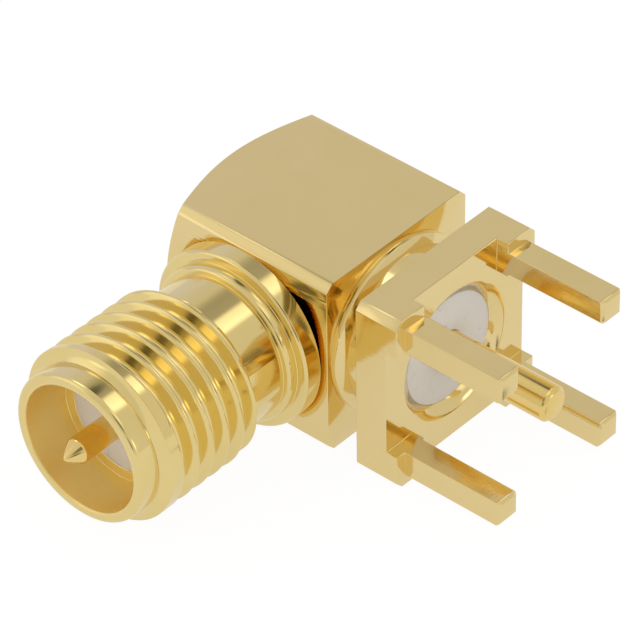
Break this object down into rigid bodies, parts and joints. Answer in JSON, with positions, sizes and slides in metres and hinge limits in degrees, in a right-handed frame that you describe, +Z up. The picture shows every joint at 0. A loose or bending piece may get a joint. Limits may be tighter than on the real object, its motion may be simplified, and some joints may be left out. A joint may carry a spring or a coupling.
{
  "type": "coaxial board connector",
  "caption": "Right-angle threaded coaxial jack for a circuit board: square block, turned barrel with a male centre pin, base plate on pads with square legs and a board pin.",
  "frame": {"origin": "on the board pin's axis, in the plane of the pads' lower faces, which is the board's surface when fitted", "axes": "+X along the board pin and the legs, towards their tips; -Y along the barrel's axis, out of its mouth; +Z up as the part lies on one side face"},
  "size_m": [0.0139, 0.0155, 0.0068],
  "materials": {
    "plated_body": "gold-plated brass, machined",
    "plated_barrel": "gold-plated brass, turned",
    "front_ptfe": "white PTFE, turned",
    "contact_gold": "gold-plated brass, turned",
    "board_ptfe": "white PTFE, turned",
    "board_pin_gold": "gold-plated brass, turned"
  },
  "bodies": {
    "root": {"body": "plated_body", "barrel": "plated_barrel", "front_insulator": "front_ptfe", "centre_contact": "contact_gold", "board_insulator": "board_ptfe", "board_contact": "board_pin_gold"}
  },
  "joints": []
}
